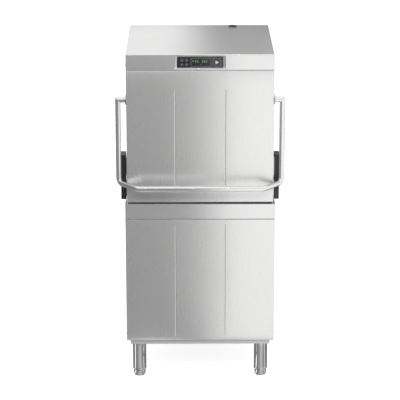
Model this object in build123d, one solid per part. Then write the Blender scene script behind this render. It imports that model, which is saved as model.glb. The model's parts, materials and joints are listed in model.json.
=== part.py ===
from build123d import *
import math
import os

# Hood-type commercial dishwasher, closed. Millimetres, +Z up, the front faces -Y.
# The parts are drawn about the middle of the wash well, and written with the origin
# on the floor, under the middle of the machine's outer box.

# ---------------------------------------------------------------- driving dimensions
BACK_Y = 398.5
SCREW_RISE = 2.5
HANDLE_R = 12.5
HANDLE_REACH = 84.5
HOOD_FRONT = -333.5
HOOD_DEPTH = 640.0
HOOD_BACK = HOOD_FRONT + HOOD_DEPTH
HOOD_HALF = 321.0
HOOD_BOTTOM = 836.0
LID_SEAM = 1431.0
HOOD_TOP = 1500.0
BASE_HALF = 330.0
BASE_FRONT = HOOD_FRONT - 9.0
CHASSIS_HALF = 313.5
CHASSIS_BOTTOM = 166.0
PANEL_BOTTOM = 188.0
DECK_SEAM = 762.0
DECK_TOP = 830.0
SEAM_GAP = 2.0
LID_GAP = 1.4
DECK_BACK = 301.0
DECK_LIP = 38.0
DECK_SLOPE = 12.0
SHEET = 1.5
RETURN = 20.0
CORNER_R = 4.0
BEAD_X = 109.0
BEAD_R = 5.0
BEAD_OFFSET = 3.0
LINER_GAP = 25.0
LINER_TOP = 1413.0
CHAMBER_Y = -20.0

# Control panel in the lid's front.
PANEL_Z = 1464.5
POCKET_W = 220.0
POCKET_H = 60.0
POCKET_DEPTH = 6.0
GLASS_W = 200.0
GLASS_H = 47.0
GLASS_T = 3.0
KEY_R = 7.5
KEY_CLEAR = 0.4
KEY_PITCH = 20.0
KEY_X = -68.5
START_X = 72.0
START_W = 36.0
START_H = 36.0
KEY_PROUD = 0.8

# Handle and its side mouldings.
HANDLE_Z = 923.0
HANDLE_TOP_Z = 1297.0
ARM_X = 357.0
ARM_Y = HOOD_FRONT + 17.0
BAR_HALF = 274.0
MITRE_LOW = HANDLE_TOP_Z - 40.0
BAR_Y = HOOD_FRONT - HANDLE_REACH
BLOCK_IN = 326.0
BLOCK_OUT = 348.0
BLOCK_FRONT = HOOD_FRONT + 30.5
BLOCK_BACK = HOOD_FRONT + 98.0
BLOCK_LOW = 842.0
BLOCK_HIGH = 1044.0

# Legs and feet.
LEG_X = 275.0
LEG_R = 31.0
LEG_BOTTOM = 32.0
LEG_FRONT_Y = BASE_FRONT + 60.0
LEG_REAR_Y = BACK_Y - 60.0
FOOT_R = 26.5
STEM_R = 10.0
STEM_TOP = 120.0

# Rear column, guide rails and lift struts.
COLUMN_TOP = 1463.0
RAIL_IN = 284.0
RAIL_OUT = 312.0
RAIL_FRONT = 318.0
RAIL_BACK = 346.0
STRUT_X = 200.0
STRUT_Y = 356.0
STRUT_BOTTOM = 300.0
STRUT_TOP = 853.0
BRIDGE_Z = 870.0
CARRIAGE_TOP = 972.0
SHOE_LOW = 852.0

# Tank, spray arms and rack.
TANK_HALF_X = 262.0
TANK_HALF_Y = 252.0
TANK_BOTTOM = 575.0
FILTER_Z = 745.0
SPINDLE_R = 15.0
RINSE_SPINDLE_R = 8.0
RUN_CLEAR = 0.05
ARM_HALF_L = 235.0
STANDPIPE_X = 235.0
STANDPIPE_Y = 200.0
RACK_HALF = 250.0
RACK_Z = 862.0
UPPER_HUB_Z = 1348.0
LOWER_HUB_Z = 782.0
PIPE_Y = 255.0
PIPE_BOTTOM = 770.0

# Wash pump below the tank; its shaft lies along X.
PUMP_X = 60.0
PUMP_Y = -70.0
PUMP_Z = 300.0
SHAFT_R = 7.0


# ---------------------------------------------------------------- small helpers
def block(x0, x1, y0, y1, z0, z1):
    """A box between two limits on each axis."""
    centre = ((x0 + x1) / 2, (y0 + y1) / 2, (z0 + z1) / 2)
    return Pos(*centre) * Box(x1 - x0, y1 - y0, z1 - z0)


def disc(x, y, z0, z1, r):
    """An upright cylinder between two heights."""
    return Pos(x, y, (z0 + z1) / 2) * Cylinder(r, z1 - z0)


def rod_x(x0, x1, y, z, r):
    """A cylinder along X."""
    return Pos((x0 + x1) / 2, y, z) * Rot(0, 90, 0) * Cylinder(r, x1 - x0)


def rod_y(x, y0, y1, z, r):
    """A cylinder along Y."""
    return Pos(x, (y0 + y1) / 2, z) * Rot(90, 0, 0) * Cylinder(r, y1 - y0)


def gather(*pieces):
    """One compound that keeps every piece as its own solid."""
    return Compound([solid for piece in pieces for solid in piece.solids()])


def twin(piece):
    """A piece and its mirror image across the machine's middle."""
    return gather(piece, piece.mirror(Plane.YZ))


def pipe(points, radii, r_out, r_in=0.0):
    """A round bar or pipe along straight runs joined by tangent arcs."""
    path = FilletPolyline(*points, radius=radii)
    start = Plane(origin=path @ 0, z_dir=path % 0)
    body = sweep(start * Circle(r_out), path=path)
    if r_in > 0:
        body -= sweep(start * Circle(r_in), path=path)
    return body


def front_edges(body, y):
    """The upright edges of a block that lie on its front face."""
    return body.edges().filter_by(Axis.Z).filter_by_position(Axis.Y, y - 0.1, y + 0.1)


def front_pan(half, y, z0, z1):
    """A front sheet whose four edges fold back, open behind."""
    outer = block(-half, half, y, y + RETURN, z0, z1)
    outer = fillet(front_edges(outer, y), CORNER_R)
    inner = block(-half + SHEET, half - SHEET, y + SHEET, y + RETURN + 1, z0 + SHEET, z1 - SHEET)
    inner = fillet(front_edges(inner, y + SHEET), CORNER_R - SHEET)
    return outer - inner


def add_beads(pan, y, z0, z1):
    """Press the two upright grooves into a front sheet, with their ridges behind."""
    for side in (-1, 1):
        x = side * BEAD_X
        ridge = disc(x, y - BEAD_OFFSET, z0 - SHEET, z1 + SHEET, BEAD_R + SHEET)
        keep = block(x - 20, x + 20, y + SHEET / 2, y + 20, z0 - 5, z1 + 5)
        pan = pan + (ridge & keep)
        pan = pan - disc(x, y - BEAD_OFFSET, z0, z1, BEAD_R)
    return pan


# ---------------------------------------------------------------- base
def chassis_frame():
    """The folded floor tray, ribbed in the middle, with a solid pad over each leg."""
    y0 = BASE_FRONT + 14
    y1 = BACK_Y - 14
    tray = block(-CHASSIS_HALF, CHASSIS_HALF, y0, y1, CHASSIS_BOTTOM, PANEL_BOTTOM)
    wall = 3.0
    pad = 40.0
    low = CHASSIS_BOTTOM - 1
    high = PANEL_BOTTOM - 2
    inner = CHASSIS_HALF - wall
    hollow = block(-inner, inner, y0 + wall, y1 - wall, low, high)
    hollow -= block(-wall / 2, wall / 2, y0, y1, low, high)
    for x in (-LEG_X, LEG_X):
        for y in (LEG_FRONT_Y, LEG_REAR_Y):
            hollow -= block(x - pad, x + pad, y - pad, y + pad, low, high)
    return tray - hollow


def base_front_panel():
    pan = front_pan(BASE_HALF, BASE_FRONT, PANEL_BOTTOM, DECK_SEAM - SEAM_GAP)
    return add_beads(pan, BASE_FRONT, PANEL_BOTTOM + 22, DECK_SEAM - 25)


def base_right_panel():
    x1 = BASE_HALF
    y0 = BASE_FRONT + RETURN + 0.5
    pan = block(x1 - RETURN, x1, y0, BACK_Y, PANEL_BOTTOM, DECK_SEAM)
    inner = block(x1 - RETURN - 1, x1 - SHEET, y0 + SHEET, BACK_Y - SHEET,
                  PANEL_BOTTOM + SHEET, DECK_SEAM - SHEET)
    return pan - inner


def base_rear_panel():
    half = BASE_HALF - RETURN - 1
    low = 262.0
    back = block(-half, half, BACK_Y - SHEET, BACK_Y, low, DECK_SEAM)
    back += block(-half, half, BACK_Y - 14, BACK_Y, low, low + SHEET)
    service_y = BACK_Y - 48
    plate = block(-half, half, service_y, service_y + 2, PANEL_BOTTOM, low - 1)
    plate += block(-half, half, service_y, BACK_Y - 15, low - 3, low - 1)
    for x, r in ((INLET_X, INLET_R + 3), (DRAIN_X, DRAIN_R + 3), (GLAND_X, GLAND_R + 1)):
        plate -= rod_y(x, service_y - 5, service_y + 5, SERVICE_Z, r)
    return gather(back, plate)


def deck_rim():
    """The folded rim round the wash well: lip on top, sloping wall inside."""
    outer = block(-BASE_HALF, BASE_HALF, BASE_FRONT, DECK_BACK, DECK_SEAM, DECK_TOP)
    outer = fillet(front_edges(outer, BASE_FRONT), CORNER_R)
    top_x = 2 * (BASE_HALF - DECK_LIP)
    y0 = BASE_FRONT + DECK_LIP - 10
    y1 = DECK_BACK - 20
    well = well_taper(top_x, y1 - y0, (y0 + y1) / 2, 0.0)
    lining = well_taper(top_x, y1 - y0, (y0 + y1) / 2, SHEET)
    cavity = block(-BASE_HALF + SHEET, BASE_HALF - SHEET, BASE_FRONT + SHEET, DECK_BACK - SHEET,
                   DECK_SEAM - 1, DECK_TOP - SHEET)
    cavity = fillet(front_edges(cavity, BASE_FRONT + SHEET), CORNER_R - SHEET)
    return outer - (cavity - lining) - well


def well_taper(width, length, y_mid, grow):
    """The wash well's sloping hollow, or the same grown by a sheet's thickness."""
    angle = math.degrees(math.atan(DECK_SLOPE / (DECK_TOP - DECK_SEAM)))
    top = Plane(origin=(0, y_mid, DECK_TOP + 0.01), x_dir=(1, 0, 0), z_dir=(0, 0, -1))
    mouth = RectangleRounded(width + 2 * grow, length + 2 * grow, 30 + grow)
    return extrude(top * mouth, amount=DECK_TOP - DECK_SEAM + 1, taper=angle)


def rear_wall():
    """The chamber's fixed back, and the shelf behind it that carries the column."""
    wall = block(-290, 290, 285, 287, DECK_TOP + 0.5, LINER_TOP - 6)
    wall += block(-290, 290, 287, 299, DECK_TOP + 0.5, DECK_TOP + 2.5)
    wall += block(-290, 290, 287, 299, LINER_TOP - 8, LINER_TOP - 6)
    shelf = block(-BASE_HALF, BASE_HALF, DECK_BACK + 0.5, BACK_Y, DECK_SEAM, DECK_TOP)
    shelf -= block(-BASE_HALF + 2, BASE_HALF - 2, DECK_BACK + 2.5, BACK_Y - 2,
                   DECK_SEAM - 1, DECK_TOP - 2)
    for side in (-1, 1):
        shelf -= disc(side * STRUT_X, STRUT_Y, DECK_SEAM, DECK_TOP + 1, 14)
    return gather(wall, shelf)


def leg_tubes():
    tubes = []
    for x in (-LEG_X, LEG_X):
        for y in (LEG_FRONT_Y, LEG_REAR_Y):
            tube = disc(x, y, LEG_BOTTOM, CHASSIS_BOTTOM, LEG_R)
            tube -= disc(x, y, LEG_BOTTOM + 12, CHASSIS_BOTTOM - 4, LEG_R - 2)
            tube -= disc(x, y, LEG_BOTTOM - 1, LEG_BOTTOM + 13, STEM_R + 0.3)
            tubes.append(tube)
    return gather(*tubes)


def foot(x, y):
    """A cup foot on a threaded stem that runs up inside its leg."""
    cup = disc(x, y, 0, LEG_BOTTOM - 1.5, FOOT_R)
    cup = fillet(cup.edges().group_by(Axis.Z)[0], 7)
    cup = fillet(cup.edges().group_by(Axis.Z)[-1], 2)
    stem = disc(x, y, LEG_BOTTOM - 5, STEM_TOP, STEM_R)
    return cup + stem


# ---------------------------------------------------------------- tank and spray system
def wash_tank():
    y0 = CHAMBER_Y - TANK_HALF_Y
    y1 = CHAMBER_Y + TANK_HALF_Y
    tank = block(-TANK_HALF_X, TANK_HALF_X, y0, y1, TANK_BOTTOM, DECK_SEAM - 0.2)
    tank = fillet(tank.edges().filter_by(Axis.Z), 30)
    hollow = block(-TANK_HALF_X + SHEET, TANK_HALF_X - SHEET, y0 + SHEET, y1 - SHEET,
                   TANK_BOTTOM + SHEET, DECK_SEAM + 1)
    hollow = fillet(hollow.edges().filter_by(Axis.Z), 30 - SHEET)
    flange = block(-300, 300, BASE_FRONT + 12, DECK_BACK - 12, DECK_SEAM - 1.8, DECK_SEAM - 0.2)
    tank = (tank + flange) - hollow
    tank -= disc(0, CHAMBER_Y, TANK_BOTTOM - 1, TANK_BOTTOM + 5, 22)
    tank -= disc(STANDPIPE_X, STANDPIPE_Y, TANK_BOTTOM - 1, TANK_BOTTOM + 5, 14)
    return tank


def filter_half(x0, x1):
    """One flat strainer tray: a sheet with rows of round holes and a folded edge."""
    y0 = CHAMBER_Y - TANK_HALF_Y + 4
    y1 = CHAMBER_Y + TANK_HALF_Y - 4
    tray = block(x0, x1, y0, y1, FILTER_Z, FILTER_Z + SHEET)
    tray = fillet(tray.edges().filter_by(Axis.Z), 28)
    holes = Sketch()
    middle = Pos((x0 + x1) / 2, CHAMBER_Y, FILTER_Z)
    for spot in GridLocations(30, 30, 8, 15):
        holes += spot * Circle(5)
    tray -= extrude(middle * holes, amount=5)
    return tray - disc(0, CHAMBER_Y, FILTER_Z - 5, FILTER_Z + 5, 40)


def filter_trays():
    right = filter_half(1, TANK_HALF_X - 4)
    left = filter_half(-TANK_HALF_X + 4, -1)
    right -= disc(STANDPIPE_X, STANDPIPE_Y, FILTER_Z - 5, FILTER_Z + 5, 24)
    return gather(left, right)


def overflow_standpipe():
    """The lift-out overflow pipe: rubber-seated foot, open tube, bail on top."""
    x = STANDPIPE_X
    y = STANDPIPE_Y
    seat = TANK_BOTTOM + SHEET + 0.3
    top = FILTER_Z - 18
    tube = disc(x, y, seat, top, 18) - disc(x, y, seat - 1, top + 1, 16)
    tube += disc(x, y, seat, seat + 6, 20) - disc(x, y, seat - 1, seat + 7, 12)
    bail = Pos(x, y, top) * Rot(90, 0, 0) * Torus(17, 2.2)
    return tube + (bail & block(x - 30, x + 30, y - 10, y + 10, top - 2, top + 38))


def lower_spindle():
    """The riser through the tank, stepped for the two lower spray arms, with its nut."""
    y = CHAMBER_Y
    z = LOWER_HUB_Z
    riser = disc(0, y, TANK_BOTTOM - 20, z - 22, 21.5) + disc(0, y, z - 22, z, 30)
    riser += disc(0, y, z, z + 26, SPINDLE_R)
    riser += disc(0, y, z + 26, z + 48, RINSE_SPINDLE_R)
    riser -= disc(0, y, TANK_BOTTOM - 21, z + 13, 11)
    nut = disc(0, y, z + 48, z + 59, 15)
    return gather(riser, fillet(nut.edges().group_by(Axis.Z)[-1], 2))


def spray_arm(z0, height, width, hub_r, bore_r, nozzles, turn, slot_up):
    """A hollow two-ended spray arm round an upright bore, with slots on its working face."""
    arm = Box(2 * ARM_HALF_L, width, height)
    arm = fillet(arm.edges().filter_by(Axis.Z), width * 0.45)
    arm = fillet(arm.edges().filter_by(Axis.X), height * 0.3)
    arm -= Box(2 * ARM_HALF_L - width, width - 3, height - 3)
    arm += Cylinder(hub_r, height)
    face = height / 2 if slot_up else -height / 2
    for i in range(nozzles):
        x = 50 + i * (ARM_HALF_L - 75) / (nozzles - 1)
        for side in (-1, 1):
            arm -= Pos(side * x, 0, face) * Box(3, width * 0.6, 5)
    arm -= Cylinder(bore_r, height + 2)
    return Pos(0, CHAMBER_Y, z0 + height / 2) * Rot(0, 0, turn) * arm


def lower_wash_arm():
    return spray_arm(LOWER_HUB_Z + 1.5, 23, 34, 28, SPINDLE_R + RUN_CLEAR, 5, 0, True)


def lower_rinse_arm():
    return spray_arm(LOWER_HUB_Z + 27, 20, 16, 14, RINSE_SPINDLE_R + RUN_CLEAR, 6, 60, True)


def upper_wash_arm():
    return spray_arm(UPPER_HUB_Z - 24, 23, 34, 28, SPINDLE_R + RUN_CLEAR, 5, 20, False)


def upper_rinse_arm():
    return spray_arm(UPPER_HUB_Z - 47, 20, 16, 14, RINSE_SPINDLE_R + RUN_CLEAR, 6, 80, False)


def upper_wash_pipe():
    """The pipe up the chamber's back and forward to the upper arms, with their spindle."""
    y = CHAMBER_Y
    z = UPPER_HUB_Z
    route = [(0, PIPE_Y, PIPE_BOTTOM), (0, PIPE_Y, z + 23), (0, y, z + 23)]
    line = pipe(route, 50, 14, 12)
    hub = disc(0, y, z, z + 41, 24)
    hub -= disc(0, y, z + 6, z + 33, 18)
    hub -= rod_y(0, y, y + 40, z + 23, 14.0)
    line -= disc(0, y, z - 25, z + 55, 23.9)
    spindle = disc(0, y, z - 25.5, z, SPINDLE_R)
    spindle += disc(0, y, z - 48.5, z - 25.5, RINSE_SPINDLE_R)
    nut = disc(0, y, z - 59, z - 48.5, 15)
    return gather(line, hub + spindle, fillet(nut.edges().group_by(Axis.Z)[0], 2))


def rinse_pipe():
    y = CHAMBER_Y
    z = UPPER_HUB_Z + 15
    route = [(45, PIPE_Y + 4, PIPE_BOTTOM), (45, PIPE_Y + 4, z), (45, y, z), (24.5, y, z)]
    return pipe(route, [40, 10], 7, 5.5)


def rack_rails():
    """Two shelves with upright guides for the rack, their legs on the rim, and two cross rods."""
    y0 = CHAMBER_Y - 258
    y1 = CHAMBER_Y + 252
    shelf = block(225, 283, y0, y1, RACK_Z - 2, RACK_Z)
    guide = block(RACK_HALF + 4, RACK_HALF + 6, y0, y1, RACK_Z + 0.1, RACK_Z + 22)
    legs = []
    for y in (CHAMBER_Y - 200, CHAMBER_Y + 200):
        legs.append(twin(block(281, 283, y - 20, y + 20, DECK_TOP + 2.6, RACK_Z - 2.1)))
        legs.append(twin(block(281, 300, y - 20, y + 20, DECK_TOP + 0.5, DECK_TOP + 2.5)))
    rods = [rod_x(-260, 260, y, RACK_Z - 6, 4) for y in (CHAMBER_Y - 236, CHAMBER_Y + 226)]
    return gather(twin(shelf), twin(guide), *legs, *rods)


def tank_heater():
    """A flat hairpin element low in the tank, through a flange in the tank's left wall."""
    z = TANK_BOTTOM + 45
    x_wall = -TANK_HALF_X
    route = [(x_wall + 2, -190, z), (150, -190, z), (150, -120, z), (x_wall + 2, -120, z)]
    flange = block(x_wall - 8, x_wall - 0.2, -220, -90, z - 22, z + 22)
    return gather(pipe(route, [34, 34], 5), flange)


# ---------------------------------------------------------------- machinery below the tank
def wash_pump_casing():
    """The volute round the impeller, its discharge pipe to the riser and its suction bend."""
    shell = rod_x(PUMP_X - 28, PUMP_X + 28, PUMP_Y, PUMP_Z, 76)
    shell += disc(PUMP_X, PUMP_Y + 50, PUMP_Z, PUMP_Z + 92, 20)
    shell -= rod_x(PUMP_X - 22, PUMP_X + 22, PUMP_Y, PUMP_Z, 66)
    shell -= disc(PUMP_X, PUMP_Y + 50, PUMP_Z + 10, PUMP_Z + 93, 17)
    shell -= rod_x(PUMP_X + 20, PUMP_X + 30, PUMP_Y, PUMP_Z, SHAFT_R + 1)
    shell -= rod_x(PUMP_X - 30, PUMP_X - 20, PUMP_Y, PUMP_Z, 17)
    y = PUMP_Y + 50
    lift = pipe([(PUMP_X, y, PUMP_Z + 92.2), (PUMP_X, y, 450), (0, y, 450),
                 (0, y, TANK_BOTTOM - 20.5)], [28, 28], 20, 17)
    suction = pipe([(PUMP_X - 28.2, PUMP_Y, PUMP_Z), (-60, PUMP_Y, PUMP_Z),
                    (-60, PUMP_Y, TANK_BOTTOM - 0.2)], 45, 20, 17)
    return gather(shell, lift, suction)


def wash_pump_motor():
    x0 = PUMP_X + 28.5
    motor = rod_x(x0, x0 + 14, PUMP_Y, PUMP_Z, 66)
    motor += rod_x(x0 + 14, x0 + 160, PUMP_Y, PUMP_Z, 54)
    motor += rod_x(x0 + 160, x0 + 196, PUMP_Y, PUMP_Z, 60)
    for i in range(20):
        fin = Pos(0, 0, 57) * Box(140, 2.4, 14)
        motor += Pos(x0 + 87, PUMP_Y, PUMP_Z) * Rot(i * 18, 0, 0) * fin
    motor += block(x0 + 50, x0 + 120, PUMP_Y - 36, PUMP_Y + 36, PUMP_Z + 50, PUMP_Z + 84)
    motor += block(x0 + 30, x0 + 150, PUMP_Y - 50, PUMP_Y + 50, PANEL_BOTTOM + 0.2, PUMP_Z - 50)
    motor -= rod_x(x0 - 1, x0 + 70, PUMP_Y, PUMP_Z, SHAFT_R + RUN_CLEAR)
    return motor


def pump_impeller():
    wheel = rod_x(PUMP_X + 6, PUMP_X + 10, PUMP_Y, PUMP_Z, 56)
    wheel += rod_x(PUMP_X - 10, PUMP_X + 12, PUMP_Y, PUMP_Z, 14)
    for i in range(7):
        vane = Pos(0, 0, 32) * Rot(0, 0, 18) * Box(16, 3, 46)
        wheel += Pos(PUMP_X, PUMP_Y, PUMP_Z) * Rot(i * 360 / 7, 0, 0) * vane
    wheel += rod_x(PUMP_X, PUMP_X + 28.5 + 66, PUMP_Y, PUMP_Z, SHAFT_R)
    return wheel


def rinse_boiler():
    """The upright rinse-water boiler, with its heating element on a bolted head."""
    x = -190.0
    y = 150.0
    z0 = PANEL_BOTTOM + 12
    shell = disc(x, y, z0, 480, 92)
    shell = fillet(shell.edges().filter_by(GeomType.CIRCLE), 18)
    shell -= disc(x, y, z0 + 2, 478, 90)
    for turn in range(3):
        side = Pos(x, y, 0) * Rot(0, 0, turn * 120) * Pos(80, 0, PANEL_BOTTOM + 15)
        shell += side * Box(16, 30, 29.6)
    head = disc(x, y, 480.2, 488, 44)
    for turn in range(6):
        head += Pos(x, y, 490) * Rot(0, 0, turn * 60) * Pos(36, 0, 0) * Cylinder(5, 6)
    rods = [disc(x + dx, y, 230, 470, 4.5) for dx in (-30, 0, 30)]
    return gather(shell, head, *rods)


def drain_pump():
    """The drain pump and the pipe from it to the outlet at the back."""
    x = -120.0
    y = -200.0
    body = disc(x, y, PANEL_BOTTOM + 0.2, 250, 38)
    body += disc(x, y, 250, 322, 31)
    run = [(x + 38.2, y, 214), (20, y, 214), (20, 300, 214), (DRAIN_X, 300, SERVICE_Z),
           (DRAIN_X, SERVICE_Y - 1, SERVICE_Z)]
    return gather(body, pipe(run, [40, 40, 30], 12, 10))


def dosing_pumps():
    units = []
    for z in (400.0, 300.0):
        unit = block(-306, -250, -312, -232, z, z + 80)
        unit = fillet(unit.edges().filter_by(Axis.X), 6)
        unit += rod_x(-250, -236, -272, z + 40, 30)
        units.append(unit)
    return gather(*units)


def electrical_box():
    box = block(150, 306, -318, -160, 198, 480)
    box -= block(152, 304, -316, -158, 200, 478)
    lid = block(146, 308, -159.5, -157.5, 194, 484)
    rows = [block(164, 290, -306, -282, z, z + 60) for z in (220, 310, 400)]
    return gather(box, lid, *rows)


# ---------------------------------------------------------------- connections at the back
SERVICE_Y = BACK_Y - 48.0
SERVICE_Z = 220.0
INLET_X = 258.0
INLET_R = 13.2
DRAIN_X = -255.0
DRAIN_R = 20.0
GLAND_X = 110.0
GLAND_R = 14.0
CABLE_R = 8.0


def water_inlet():
    """A threaded inlet stub on a solenoid valve."""
    stub = rod_y(INLET_X, SERVICE_Y - 30, SERVICE_Y + 34, SERVICE_Z, INLET_R)
    stub += rod_y(INLET_X, SERVICE_Y + 2.2, SERVICE_Y + 12, SERVICE_Z, INLET_R + 5)
    stub += block(INLET_X - 22, INLET_X + 22, SERVICE_Y - 70, SERVICE_Y - 30,
                  SERVICE_Z - 16, SERVICE_Z + 44)
    return stub - rod_y(INLET_X, SERVICE_Y - 40, SERVICE_Y + 35, SERVICE_Z, 9)


def drain_outlet():
    tail = rod_y(DRAIN_X, SERVICE_Y - 0.5, SERVICE_Y + 40, SERVICE_Z, DRAIN_R)
    tail += rod_y(DRAIN_X, SERVICE_Y + 2.2, SERVICE_Y + 8, SERVICE_Z, DRAIN_R + 6)
    return tail - rod_y(DRAIN_X, SERVICE_Y - 1, SERVICE_Y + 41, SERVICE_Z, DRAIN_R - 3)


def cable_gland():
    gland = rod_y(GLAND_X, SERVICE_Y - 10, SERVICE_Y + 30, SERVICE_Z, GLAND_R)
    across = Plane(origin=(GLAND_X, SERVICE_Y + 2.2, SERVICE_Z), x_dir=(1, 0, 0), z_dir=(0, 1, 0))
    gland += extrude(across * RegularPolygon(19, 6), amount=10)
    return gland - rod_y(GLAND_X, SERVICE_Y - 11, SERVICE_Y + 31, SERVICE_Z, CABLE_R)


# ---------------------------------------------------------------- rear column
def column_frame():
    post = block(252, RAIL_IN, 322, 382, DECK_TOP + 0.2, COLUMN_TOP - 30)
    post -= block(254, RAIL_IN - 2, 324, 380, DECK_TOP, COLUMN_TOP - 29)
    head = block(-RAIL_OUT, RAIL_OUT, 322, 352, COLUMN_TOP - 29.8, COLUMN_TOP - 2)
    head -= block(-RAIL_OUT + 2, RAIL_OUT - 2, 324, 350, COLUMN_TOP - 31, COLUMN_TOP - 4)
    return gather(twin(post), head)


def guide_rails():
    rail = block(RAIL_IN + 0.2, RAIL_OUT, RAIL_FRONT, RAIL_BACK, DECK_TOP + 0.2, COLUMN_TOP - 31)
    rail -= block(RAIL_IN + 3, RAIL_OUT + 1, RAIL_FRONT + 3, RAIL_BACK - 3, DECK_TOP, COLUMN_TOP)
    return twin(rail)


def column_cover():
    cover = block(-318, 318, 354, BACK_Y, DECK_TOP + 0.2, COLUMN_TOP)
    cover -= block(-318 + SHEET, 318 - SHEET, 353, BACK_Y - SHEET, DECK_TOP, COLUMN_TOP - SHEET)
    return cover


def strut_cylinders():
    """The gas struts' cylinders, standing in the base and reaching into the column."""
    tube = disc(STRUT_X, STRUT_Y, STRUT_BOTTOM, STRUT_TOP, 11)
    tube -= disc(STRUT_X, STRUT_Y, STRUT_BOTTOM + 8, STRUT_TOP - 12, 8.8)
    tube -= disc(STRUT_X, STRUT_Y, STRUT_TOP - 13, STRUT_TOP + 1, 5.35)
    tube += rod_y(STRUT_X, STRUT_Y - 6, STRUT_Y + 6, STRUT_BOTTOM - 6, 9)
    tube += block(STRUT_X - 16, STRUT_X + 16, STRUT_Y - 9, STRUT_Y - 6, PANEL_BOTTOM + 0.2, 304)
    return twin(tube)


def strut_rods():
    rod = disc(STRUT_X, STRUT_Y, STRUT_BOTTOM + 30, BRIDGE_Z - 8, 5)
    rod += rod_y(STRUT_X, STRUT_Y - 6, STRUT_Y + 6, BRIDGE_Z, 10)
    return twin(rod)


# ---------------------------------------------------------------- hood
def hood_front_skin():
    pan = front_pan(HOOD_HALF, HOOD_FRONT, HOOD_BOTTOM, LID_SEAM - LID_GAP)
    return add_beads(pan, HOOD_FRONT, HOOD_BOTTOM + 72, LID_SEAM - 87)


def hood_right_skin():
    x1 = HOOD_HALF
    fold = 18.0
    y0 = HOOD_FRONT + RETURN + 0.4
    pan = block(x1 - fold, x1, y0, HOOD_BACK, HOOD_BOTTOM, LID_SEAM - LID_GAP)
    inner = block(x1 - fold - 1, x1 - SHEET, y0 - 1, HOOD_BACK - SHEET,
                  HOOD_BOTTOM + SHEET, LID_SEAM - LID_GAP - SHEET)
    return pan - inner


def hood_top_cover():
    """The lid: top and four short sides in one folded sheet, with the control panel's pocket."""
    lid = block(-HOOD_HALF, HOOD_HALF, HOOD_FRONT, HOOD_BACK, LID_SEAM, HOOD_TOP)
    lid = fillet(lid.edges().filter_by(Axis.Z), CORNER_R)
    lid = fillet(lid.edges().group_by(Axis.Z)[-1], 3)
    lid -= block(-HOOD_HALF + SHEET, HOOD_HALF - SHEET, HOOD_FRONT + SHEET, HOOD_BACK - SHEET,
                 LID_SEAM - 1, HOOD_TOP - SHEET)
    lid += block(-POCKET_W / 2 - 2, POCKET_W / 2 + 2, HOOD_FRONT + 1, HOOD_FRONT + POCKET_DEPTH + 1.5,
                 PANEL_Z - POCKET_H / 2 - 1.5, PANEL_Z + POCKET_H / 2 + 1.5)
    face = Plane(origin=(0, HOOD_FRONT - 0.01, PANEL_Z), x_dir=(1, 0, 0), z_dir=(0, -1, 0))
    pocket = face * RectangleRounded(POCKET_W, POCKET_H, 4)
    lid -= extrude(pocket, amount=-POCKET_DEPTH, taper=42)
    window = face * Rectangle(GLASS_W - 8, GLASS_H - 8)
    return lid - extrude(window, amount=-20)


def hood_liner():
    """The inner walls and ceiling, and the strips that close the double wall below."""
    x1 = HOOD_HALF - LINER_GAP
    y0 = HOOD_FRONT + LINER_GAP
    y1 = HOOD_BACK - 4
    t = 1.2
    side = block(x1 - t, x1, y0 + t, y1, HOOD_BOTTOM, LINER_TOP)
    front = block(-x1, x1, y0, y0 + t, HOOD_BOTTOM, LINER_TOP)
    roof = block(-x1, x1, y0, y1, LINER_TOP + 0.1, LINER_TOP + 0.1 + t)
    foot_side = block(x1 + 0.1, HOOD_HALF - SHEET - 0.1, y0, y1 - 30, HOOD_BOTTOM + 2, HOOD_BOTTOM + 4)
    foot_front = block(-HOOD_HALF + 30, HOOD_HALF - 30, HOOD_FRONT + SHEET + 0.1, y0 - 0.1,
                       HOOD_BOTTOM + 2, HOOD_BOTTOM + 4)
    return gather(twin(side), front, roof, twin(foot_side), foot_front)


def hood_gasket():
    """The black seal strips under the hood's front and side edges."""
    low = DECK_TOP + 1.0
    side = block(303, 317, HOOD_FRONT + 20, DECK_BACK - 6, low, HOOD_BOTTOM - 0.1)
    front = block(-317, 317, HOOD_FRONT + 4, HOOD_FRONT + 19.8, low, HOOD_BOTTOM - 0.1)
    return gather(twin(side), front)


def handle_bar(radius):
    """A solid bar along the handle's bent part, from one upright to the other."""
    half = [(ARM_X, ARM_Y, MITRE_LOW), (ARM_X, ARM_Y, HANDLE_Z), (BAR_HALF, BAR_Y, HANDLE_Z)]
    route = half + [(-x, y, z) for x, y, z in reversed(half)]
    return pipe(route, [25, 30, 30, 25], radius)


def handle_corner(radius):
    """The top of one upright and the level arm that goes to the hood, meeting in a mitre."""
    cut = Plane(origin=(ARM_X, ARM_Y, HANDLE_TOP_Z), z_dir=(1, 0, -1))
    level = rod_x(HOOD_HALF + 4.2, ARM_X + 20, ARM_Y, HANDLE_TOP_Z, radius)
    upright = disc(ARM_X, ARM_Y, MITRE_LOW, HANDLE_TOP_Z + 20, radius)
    level = split(level, bisect_by=cut, keep=Keep.BOTTOM)
    return level + split(upright, bisect_by=cut, keep=Keep.TOP)


def handle_tube():
    """The handle: one bent tube with a mitred level arm at each end."""
    inside = HANDLE_R - 2
    tube = handle_bar(HANDLE_R) - handle_bar(inside)
    corner = handle_corner(HANDLE_R) - handle_corner(inside)
    return tube + corner + mirror(corner, about=Plane.YZ)


def handle_flanges():
    """Round flanges where the handle meets the hood, and plates behind the side mouldings."""
    flange = rod_x(HOOD_HALF + 0.1, HOOD_HALF + 4, ARM_Y, HANDLE_TOP_Z, 22)
    plate = block(HOOD_HALF + 0.1, BLOCK_IN - 0.1, BLOCK_FRONT + 6, BLOCK_BACK - 6,
                  BLOCK_LOW + 12, BLOCK_HIGH - 12)
    return gather(twin(flange), twin(plate))


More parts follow.
